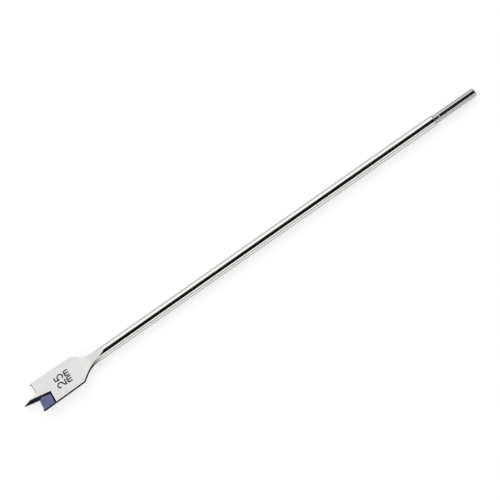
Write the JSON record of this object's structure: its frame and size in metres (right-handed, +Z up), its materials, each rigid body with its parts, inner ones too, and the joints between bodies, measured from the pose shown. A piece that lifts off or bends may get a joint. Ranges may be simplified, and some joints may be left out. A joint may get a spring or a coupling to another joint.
{
  "type": "spade drill bit",
  "caption": "Long flat spade bit for boring wood: centre point, outer spurs and painted hollows behind its cutting edges, a round shaft and a shank with flats for a chuck.",
  "frame": {"origin": "on the surface it lies on, below the middle of its length and its axis", "axes": "+X along the bit's axis from the point to the shank, +Z up, the blade's -Y edge raised and its +Y edge touching the surface"},
  "size_m": [0.4, 0.0246, 0.008],
  "materials": {
    "steel": "bright polished shaft and shank, satin ground blade",
    "hollow_paint": "thin blue lacquer in the hollows behind the cutting edges and on the point's bevels",
    "size_mark": "dark grey printed size on the blade's upper face"
  },
  "bodies": {
    "root": {"spade_bit": "steel"}
  },
  "joints": []
}
